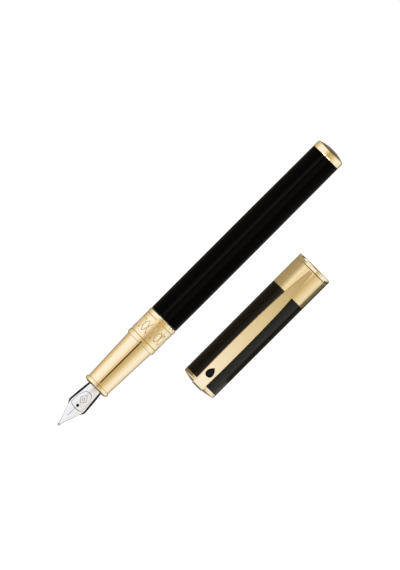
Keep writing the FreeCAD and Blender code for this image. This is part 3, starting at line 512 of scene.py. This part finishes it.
# ---- barrel and finial ----
def barrel():
    """A tube that is straight in its middle and narrows a little towards both ends."""
    start, stop, radius = reach("barrel_tube", PEN)
    bore = 5.2
    straight_front, straight_rear, blend = 62, 95, 6
    front_radius, rear_radius = radius - 0.05, radius - 0.12
    outline = [
        (start, bore, 0),
        (start, front_radius, 0.12),
        (straight_front, radius, blend),
        (straight_rear, radius, blend),
        (stop, rear_radius, 0.06),
        (stop, bore, 0),
    ]
    return turned("barrel", PEN, rounded(outline))


def finial():
    """The gilt end piece: a stem in the barrel, a straight side and a shallow dome."""
    start, stop, radius = reach("barrel_finial", PEN)
    joint_gap = 0.03
    side_front = reach("barrel_tube", PEN)[1] + joint_gap
    screw_bore, stem, screw_end = 1.53, 5.17, 127.13
    side_rear, rim_rear, rim_radius = stop - 1.2, stop - 0.95, radius - 0.32
    outline = rounded([
        (start, screw_bore, 0),
        (start, stem, 0.3),
        (side_front, stem, 0),
        (side_front, radius, 0.08),
        (side_rear, radius, 0.28),
        (rim_rear, rim_radius, 0.06),
    ])
    dome = through((0, stop), (radius / 2, stop - 0.22), (radius - 0.4, stop - 0.92))
    outline += [(dome(r), r) for r in spread(radius - 0.45, 0, 14)]
    outline += [(screw_end, 0), (screw_end, screw_bore)]
    return turned("finial", PEN, outline)


# ---- nib ----
NIB_TIP, NIB_SHOULDER, NIB_WIDEST, NIB_MOUTH, NIB_REAR = 1.0, 8.3, 9.4, 17.45, 24.0
NIB_POINT_HALF, NIB_SHOULDER_HALF, NIB_WIDEST_HALF, NIB_BASE_HALF = 0.42, 3.25, 3.34, 2.5
NIB_S_SHAPE, NIB_HOLLOW = 0.15, 0.45
BREATHER, BREATHER_RADIUS, SLIT_HALF = 9.42, 0.53, 0.05


def nib_half_width(along):
    """S-shaped flanks up to the shoulder, and slightly hollow ones from there to the grip."""
    if along < NIB_SHOULDER:
        share = (along - NIB_TIP) / (NIB_SHOULDER - NIB_TIP)
        share = (1 - NIB_S_SHAPE) * share + NIB_S_SHAPE * eased(share)
        return NIB_POINT_HALF + (NIB_SHOULDER_HALF - NIB_POINT_HALF) * share
    if along < NIB_WIDEST:
        share = (along - NIB_SHOULDER) / (NIB_WIDEST - NIB_SHOULDER)
        return NIB_SHOULDER_HALF + (NIB_WIDEST_HALF - NIB_SHOULDER_HALF) * math.sin(share * math.pi / 2)
    share = min(1, (along - NIB_WIDEST) / (NIB_MOUTH - NIB_WIDEST))
    share *= 1 + NIB_HOLLOW - NIB_HOLLOW * share
    return NIB_WIDEST_HALF - (NIB_WIDEST_HALF - NIB_BASE_HALF) * share


def nib_form(along):
    """The radius of the leaf's outer face and the height of its top line."""
    point, wide, base = (2.6, 1.42), (4.4, 2.75), (3.22, 3.22)
    if along < NIB_WIDEST:
        share = (along - NIB_TIP) / (NIB_WIDEST - NIB_TIP)
        first, second = point, wide
    else:
        share = min(1, (along - NIB_WIDEST) / (NIB_MOUTH - NIB_WIDEST))
        share = eased(share)
        first, second = wide, base
    return [one + (two - one) * share for one, two in zip(first, second)]


def nib_lines():
    """The engraved lines on one half of the leaf, as (along, across) paths: a shield round
    the breather, and two nested lozenges as a plain ornament."""
    shield_front, shield_rear, shield_half = 8.75, 15.2, 2.6
    front_bow = 0.55
    shield = []
    for along in spread(shield_front, shield_rear, 28):
        share = (along - shield_front) / (shield_rear - shield_front)
        shield.append((along, shield_half * math.sqrt(max(0, 1 - share**3))))
    front = [
        (shield_front - front_bow * (1 - (across / shield_half) ** 2), across)
        for across in spread(0, shield_half, 10)
    ]
    paths = [shield, front]
    lozenge_middle, lozenge_stretch = 12.3, 1.35
    for half in (0.45, 1.25):
        length = half * lozenge_stretch
        corners = ((-length, 0), (0, half), (length, 0))
        paths.append([(lozenge_middle + along, across) for along, across in corners])
    return paths


def distance_to(paths, along, across):
    """How far a point is from the nearest line of any path."""
    closest = math.inf
    for path in paths:
        for (x, y), (x2, y2) in zip(path, path[1:]):
            length = (x2 - x) ** 2 + (y2 - y) ** 2
            share = max(0, min(1, ((along - x) * (x2 - x) + (across - y) * (y2 - y)) / length))
            near_x = x + (x2 - x) * share - along
            near_y = y + (y2 - y) * share - across
            closest = min(closest, math.hypot(near_x, near_y))
    return closest


def nib():
    """A curved leaf with engraved lines, an ink slit and a breather hole."""
    thickness, line_half, edge = 0.3, 0.11, 0.05
    # How wide the nib's rim of painted shade is, and how dark it is painted.
    rim_width, rim_shade = 0.24, 0.7
    lines = nib_lines()
    # The part that the grip hides needs only a few stations.
    stations = spread(NIB_TIP, NIB_MOUTH, 190) + spread(NIB_MOUTH + 0.5, NIB_REAR, 10)
    across_steps = spread(-1, 1, 91)
    sections = []
    depths_and_painted_shade = []
    for along in stations:
        radius, top = nib_form(along)
        half = nib_half_width(along)
        section = []
        for face_depth in (0, thickness):
            steps = across_steps if face_depth == 0 else across_steps[::-1]
            for share in steps:
                across = share * half
                sink = face_depth
                cut = 0.0
                if face_depth == 0 and along < NIB_MOUTH:
                    closest = distance_to(lines, along, abs(across))
                    cut = max(0.0, math.cos(min(1, closest / line_half) * math.pi / 2))
                    sink = LINE_DEPTH * cut
                # The bare front part has a rim of painted shade, a darker colour that draws its
                # outline.
                in_rim = along < NIB_WIDEST and half - abs(across) < rim_width
                depths_and_painted_shade.append(max(cut, rim_shade) if in_rim else cut)
                if abs(share) == 1:
                    sink += edge if face_depth == 0 else -edge
                angle = across / radius
                reach_out = radius - sink
                section.append((
                    along, reach_out * math.sin(angle), top - radius + reach_out * math.cos(angle)
                ))
        sections.append(section)
    leaf = lofted("nib_leaf", PEN, sections, depths_and_painted_shade)
    below, above = -6, 6
    slit = block("slit", PEN, (0, -SLIT_HALF, below), (BREATHER, SLIT_HALF, above))
    combine(leaf, slit, "DIFFERENCE")
    hole = post("hole", PEN, BREATHER, BREATHER_RADIUS, below, above, 40)
    return combine(leaf, hole, "DIFFERENCE")


# ---- cap ----
CAP_BORE, SKIN_BORE = 5.92, 6.38


def cap_skin():
    """The lacquered tube, with the slot for the clip's tab."""
    start, stop, radius = reach("cap_tube", CAP)
    slot_low, slot_high = (-1, -1.2, 3.5), (4.8, 1.2, 8)
    front_radius = radius - 0.04
    outline = [
        (start, SKIN_BORE, 0),
        (start, front_radius, 0.04),
        (stop, radius, 0.04),
        (stop, SKIN_BORE, 0),
    ]
    skin = turned("cap_skin", CAP, rounded(outline))
    return combine(skin, block("slot", CAP, slot_low, slot_high), "DIFFERENCE")


def cap_lip():
    """The last ring of the cap's mouth, with a fine groove in front of it."""
    start, stop, radius = reach("cap_lip", CAP)
    front_radius, groove = radius - 0.09, radius - 0.2
    outline = [
        (start, CAP_BORE, 0),
        (start, front_radius, 0),
        (start + 0.1, groove, 0),
        (start + 0.25, radius, 0.03),
        (stop, radius, 0.5),
        (stop, CAP_BORE, 0.15),
    ]
    return turned("cap_lip_ring", CAP, rounded(outline))


def cap_dome():
    """The shallow closed end, with a notch for the clip's tail and a well for its spring."""
    _, stop, radius = reach("cap_dome", CAP)
    screw_bore, screw_depth, side_front = 1.23, 0.7, 1.16
    notch_low, notch_high = (-1, -2.3, 5.4), (4, 2.3, 8)
    well_along, well_radius, well_floor, well_top = 1.5, 0.58, 3.3, 6
    dome = through((0, 0), (radius / 2, 0.27), (radius - 0.2, 1.0))
    outline = [(dome(r), r) for r in spread(0, radius - 0.25, 14)]
    outline += rounded([(side_front, radius, 0.2), (stop, radius, 0.04), (stop, screw_bore, 0)])
    outline += [(screw_depth, screw_bore), (screw_depth, 0)]
    crown = turned("cap_crown", CAP, outline)
    combine(crown, block("notch", CAP, notch_low, notch_high), "DIFFERENCE")
    well = post("well", CAP, well_along, well_radius, well_floor, well_top, 24)
    return combine(crown, well, "DIFFERENCE")


# ---- clip and its stone ----
CLIP_START, CLIP_HIGHEST, CLIP_NARROWS, CLIP_TOE, CLIP_END = -0.05, 18, 31.6, 53.2, 53.8
WIDE_PART = through((-1, 2.03), (CLIP_HIGHEST, 2.26), (CLIP_NARROWS, 2.11))
NARROW_PART = through((CLIP_NARROWS, 2.11), (43, 1.63), (CLIP_END, 0.72))
LONG_TOP = through((CLIP_HIGHEST, 8.25), (40, 8.08), (CLIP_END, 7.75))
DROP_FRONT, DROP_WIDEST, DROP_POINT, DROP_HALF = 4.72, 6.1, 8.63, 1.4
DROP_FLOOR, DROP_TOP = 7.8, 8.53


def clip_top(along):
    """A slow rise behind a rounded front edge, and a fall towards the free end."""
    if along > CLIP_HIGHEST:
        return LONG_TOP(along)
    front_top, rise = 8.2, 0.05
    edge_length, edge_drop = 0.75, 0.8
    top = front_top + rise * max(0, along) / CLIP_HIGHEST
    from_edge = max(0, edge_length - along) / (edge_length - CLIP_START)
    return top - edge_drop * from_edge**2


def clip_bottom(along):
    """A flat underside, a foot near the free end, and a toe that curls up."""
    flat, foot, toe_rise = 7.25, 6.95, 0.4
    foot_front, foot_rear = 49.2, 51.2
    if along < foot_rear:
        share = max(0, along - foot_front) / (foot_rear - foot_front)
        return flat + (foot - flat) * share
    return foot + toe_rise * max(0, (along - CLIP_TOE) / (CLIP_END - CLIP_TOE)) ** 2


def drop_outline(scale, inset=0.0):
    """The stone's pear-shaped outline, scaled about its widest place and drawn in by the inset."""
    points = []
    for turn in spread(math.pi / 2, math.pi * 1.5, 11):
        points.append((
            DROP_WIDEST + (DROP_WIDEST - DROP_FRONT - inset) * scale * math.cos(turn),
            (DROP_HALF - inset) * scale * math.sin(turn),
        ))
    flank_middle = (7.55, -0.924)
    flank = through((DROP_WIDEST, -DROP_HALF), flank_middle, (DROP_POINT, 0))
    side = []
    for x in spread(DROP_WIDEST, DROP_POINT, 7)[1:-1]:
        side.append((DROP_WIDEST + (x - DROP_WIDEST) * scale, (flank(x) + inset) * scale))
    tip = [(DROP_WIDEST + (DROP_POINT - DROP_WIDEST - inset) * scale, 0)]
    return points + side + tip + [(x, -y) for x, y in side[::-1]]


def clip():
    """A long tapered blade with bevelled edges, a tail in the dome's notch and a tab."""
    bevel, crown = 0.2, 0.04
    stations = [CLIP_START, 0.05, 0.18, 0.4, 0.75]
    stations += spread(1.5, CLIP_TOE, 70)
    stations += [53.5, 53.7, CLIP_END]
    sections = []
    for along in stations:
        half = WIDE_PART(along) if along < CLIP_NARROWS else NARROW_PART(along)
        top = clip_top(along)
        low = clip_bottom(along)
        section = [(along, -half, low), (along, -half, top - bevel)]
        for share in spread(-1, 1, 9):
            across = share * (half - bevel)
            section.append((along, across, top + crown * (1 - share * share) - crown))
        section += [(along, half, top - bevel), (along, half, low)]
        sections.append(section)
    blade = lofted("clip_blade", CAP, sections)
    inside_blade, above_blade = 7.3, 9
    tail = block("tail", CAP, (CLIP_START, -2.02, 5.9), (2.15, 2.02, inside_blade))
    combine(blade, tail, "UNION")
    tab = block("tab", CAP, (2.75, -1.0, 3.85), (4.25, 1.0, inside_blade))
    combine(blade, tab, "UNION")
    pocket = [[(x, y, height) for x, y in drop_outline(1)] for height in (DROP_FLOOR, above_blade)]
    return combine(blade, lofted("pocket", CAP, pocket), "DIFFERENCE")


def drop_stone():
    """A black stone cut with rings of sloping facets round a small table."""
    gap_below, gap_round, facet_angle = 0.03, 0.01, 5
    girdle, slope_top = DROP_TOP - 0.55, DROP_TOP - 0.14
    rings = ((1.0, DROP_FLOOR + gap_below), (1.0, girdle), (0.62, slope_top), (0.14, DROP_TOP))
    sections = []
    for scale, height in rings:
        sections.append([(x, y, height) for x, y in drop_outline(scale, gap_round)])
    stone = lofted("drop_stone", CAP, sections)
    smooth(stone.data, facet_angle)
    return stone


# ---- every finished piece, in the place of its CAD node ----
stand_for("grip_section", grip())
for ring in ("section_ring", "section_rear_ring"):
    stand_for(ring, trim_ring(f"turned_{ring}", ring, PEN, RING_BORE, EDGE_WIDTH, EDGE_DEPTH))
stand_for("section_band", engraved_band())
stand_for("threaded_sleeve", threaded_sleeve())
stand_for("nib", nib())
stand_for("barrel_tube", barrel())
stand_for("barrel_finial", finial())
stand_for("cap_tube", cap_skin())
mouth_band = trim_ring("mouth_band", "cap_band", CAP, SKIN_BORE, edge_width=0.05, edge_depth=0.09)
stand_for("cap_band", mouth_band)
stand_for("cap_lip", cap_lip())
stand_for("cap_dome", cap_dome())
stand_for("clip", clip())
stand_for("clip_drop", drop_stone())


# ---- table, light and camera ----
def lay_table():
    """A white table that glows as brightly as the room, so that it stays white all over."""
    half = 3.0
    corners = [(-half, -half, 0), (half, -half, 0), (half, half, 0), (-half, half, 0)]
    mesh = bpy.data.meshes.new("table_top")
    mesh.from_pydata(corners, [], [(0, 1, 2, 3)])
    table = bpy.data.objects.new("table_top", mesh)
    bpy.context.scene.collection.objects.link(table)
    white = ((0.12, 0.12, 0.12), (0.125, 0.125, 0.125))
    material = finished("white_table", white, (0.7, 0.9), 0.01, 8, emission_strength=1.0)
    material.node_tree.nodes["Principled BSDF"].inputs["Emission Color"].default_value = (1, 1, 1, 1)
    mesh.materials.append(material)
    table.visible_glossy = False


def light_room():
    """A soft room whose light changes with the angle round the pen's length: pale panels
    on both sides, and a warm darker ceiling just behind the highlight."""
    world = bpy.data.worlds.new("studio")
    bpy.context.scene.world = world
    world.use_nodes = True
    nodes = world.node_tree.nodes
    links = world.node_tree.links
    place = nodes.new("ShaderNodeTexCoord")
    split = nodes.new("ShaderNodeSeparateXYZ")
    angle = nodes.new("ShaderNodeMath")
    angle.operation = "ARCTAN2"
    share = map_range(nodes, -math.pi, math.pi)
    # Each stop is an angle from straight up, positive towards +Y, and the light's colour.
    stops = (
        (-180, (0.20, 0.18, 0.14)),
        (-152, (0.30, 0.28, 0.23)),
        (-134, (0.70, 0.66, 0.56)),
        (-112, (0.96, 0.92, 0.84)),
        (-80, (1.00, 1.01, 1.04)),
        (-55, (0.91, 0.85, 0.72)),
        (-32, (0.68, 0.56, 0.33)),
        (-12, (0.58, 0.46, 0.24)),
        (0, (0.56, 0.44, 0.23)),
        (10, (0.70, 0.58, 0.42)),
        (21, (0.91, 0.80, 0.64)),
        (33, (1.00, 0.97, 0.90)),
        (60, (1.02, 1.05, 1.10)),
        (82, (1.00, 1.00, 1.00)),
        (96, (0.93, 0.85, 0.70)),
        (112, (0.76, 0.64, 0.44)),
        (134, (0.60, 0.51, 0.34)),
        (152, (0.28, 0.25, 0.18)),
        (180, (0.20, 0.18, 0.14)),
    )
    ramp = colour_ramp(nodes, [(degrees / 360 + 0.5, colour) for degrees, colour in stops])
    links.new(place.outputs["Generated"], split.inputs["Vector"])
    links.new(split.outputs["Y"], angle.inputs[0])
    links.new(split.outputs["Z"], angle.inputs[1])
    links.new(angle.outputs["Value"], share.inputs["Value"])
    links.new(share.outputs["Result"], ramp.inputs["Fac"])
    links.new(ramp.outputs["Color"], nodes["Background"].inputs["Color"])
    # The two ends of the room are darker, which draws a line along every bevelled edge.
    endwise = nodes.new("ShaderNodeMath")
    endwise.operation = "ABSOLUTE"
    fall_start, fall_stop, end_strength = 0.55, 0.85, 0.22
    fall = map_range(nodes, fall_start, fall_stop, 1.0, end_strength)
    links.new(split.outputs["X"], endwise.inputs[0])
    links.new(endwise.outputs["Value"], fall.inputs["Value"])
    links.new(fall.outputs["Result"], nodes["Background"].inputs["Strength"])
    bpy.context.scene.view_settings.view_transform = "Standard"


def card_paint(name, colour, strength):
    """Light from the card's front only; from behind, the card is clear."""
    material = bpy.data.materials.new(name)
    material.use_nodes = True
    nodes = material.node_tree.nodes
    links = material.node_tree.links
    nodes.clear()
    glow = nodes.new("ShaderNodeEmission")
    glow.inputs["Color"].default_value = (*colour, 1)
    glow.inputs["Strength"].default_value = strength
    side = nodes.new("ShaderNodeNewGeometry")
    mix = nodes.new("ShaderNodeMixShader")
    output = nodes.new("ShaderNodeOutputMaterial")
    links.new(side.outputs["Backfacing"], mix.inputs["Fac"])
    links.new(glow.outputs["Emission"], mix.inputs[1])
    links.new(nodes.new("ShaderNodeBsdfTransparent").outputs["BSDF"], mix.inputs[2])
    links.new(mix.outputs["Shader"], output.inputs["Surface"])
    return material


def card(name, home, along, across, up, colour, strength=1.0):
    """A flat studio card that only mirrored light can see. It runs along X, and its cross
    section is a line between two (across, up) points in millimetres from a home point; its
    front is on the left of that line, seen from the +X end."""
    corners = []
    for number, x in ((0, along[0]), (0, along[1]), (1, along[1]), (1, along[0])):
        point = (x, across[number], up[number])
        corners.append([home[axis] + point[axis] * MM for axis in range(3)])
    mesh = bpy.data.meshes.new(name)
    mesh.from_pydata(corners, [], [(0, 1, 2, 3)])
    panel = bpy.data.objects.new(name, mesh)
    bpy.context.scene.collection.objects.link(panel)
    mesh.materials.append(card_paint(name, colour, strength))
    panel.visible_camera = False
    panel.visible_diffuse = False
    panel.visible_shadow = False
    panel.visible_transmission = False


def set_cards():
    """Cards over the nib, the grip, the barrel and the clip, and darker ones beside the cap."""
    white = (1.0, 1.0, 1.02)
    warm_white = (1.0, 0.93, 0.90)
    line = (0.05, 0.025, 0.01)
    dark_shade, soft_shade = (0.20, 0.16, 0.10), (0.55, 0.45, 0.28)
    dark_brown, soft_brown = (0.40, 0.34, 0.24), (0.62, 0.56, 0.44)
    olive, black = (0.14, 0.13, 0.10), (0.03, 0.03, 0.02)

    grip_start, grip_stop, _ = reach("grip_section", PEN)
    grip_length, ceiling = (grip_start - 3, grip_stop), (60, 60)
    card("over_nib", PEN, (-35, 12), (70, -70), ceiling, white)
    card("over_grip", PEN, grip_length, (4.5, -5.5), ceiling, line)

    barrel_length, above_barrel = reach("barrel_tube", PEN)[:2], (12, 12)
    card("over_barrel_left", PEN, barrel_length, (6.3, 1.3), above_barrel, warm_white, 4.0)
    card("over_barrel_right", PEN, barrel_length, (-0.3, -6.5), above_barrel, warm_white, 2.4)

    lip_stop = reach("cap_lip", CAP)[1]
    skin_stop = reach("cap_tube", CAP)[1]
    # The lower cards start behind the pen's gold rings, so that the rings don't mirror them.
    rings_stop = reach("section_rear_ring", CAP)[1]
    skin, band, lower = (0, skin_stop), (skin_stop, lip_stop), (rings_stop, lip_stop)
    floor = -CAP[2] / MM + 0.2
    beside, above_clip, on_floor = (10, 10), (13, 13), (floor, floor)
    card("over_clip", CAP, (-3, lip_stop), (3.6, -3.6), above_clip, white)
    card("beside_skin", CAP, skin, beside, (floor, 9), dark_shade)
    card("beside_skin_top", CAP, skin, beside, (9, 14), soft_shade)
    card("beside_band", CAP, band, beside, (floor, 8), dark_brown)
    card("beside_band_top", CAP, band, beside, (8, 11), soft_brown)
    card("below_cap", CAP, lower, (-60, -13), on_floor, olive)
    card("below_cap_edge", CAP, lower, (-13, -8), on_floor, black)


def place_camera():
    """Straight above, turned so that the pen climbs to the right."""
    height, far_limit = 2.4, 20
    seen_height = 190 * MM
    middle_along, middle_across = 66.55 * MM, -0.475 * MM
    turn = math.radians(-45)
    data = bpy.data.cameras.new("camera")
    data.sensor_fit = "VERTICAL"
    data.sensor_height = 36
    data.lens = data.sensor_height * height / seen_height
    data.clip_end = far_limit
    camera = bpy.data.objects.new("camera", data)
    bpy.context.scene.collection.objects.link(camera)
    camera.location = (PEN[0] + middle_along, PEN[1] + middle_across, PEN[2] + height)
    camera.rotation_euler = (0, 0, turn)
    bpy.context.scene.camera = camera


lay_table()
light_room()
set_cards()
place_camera()
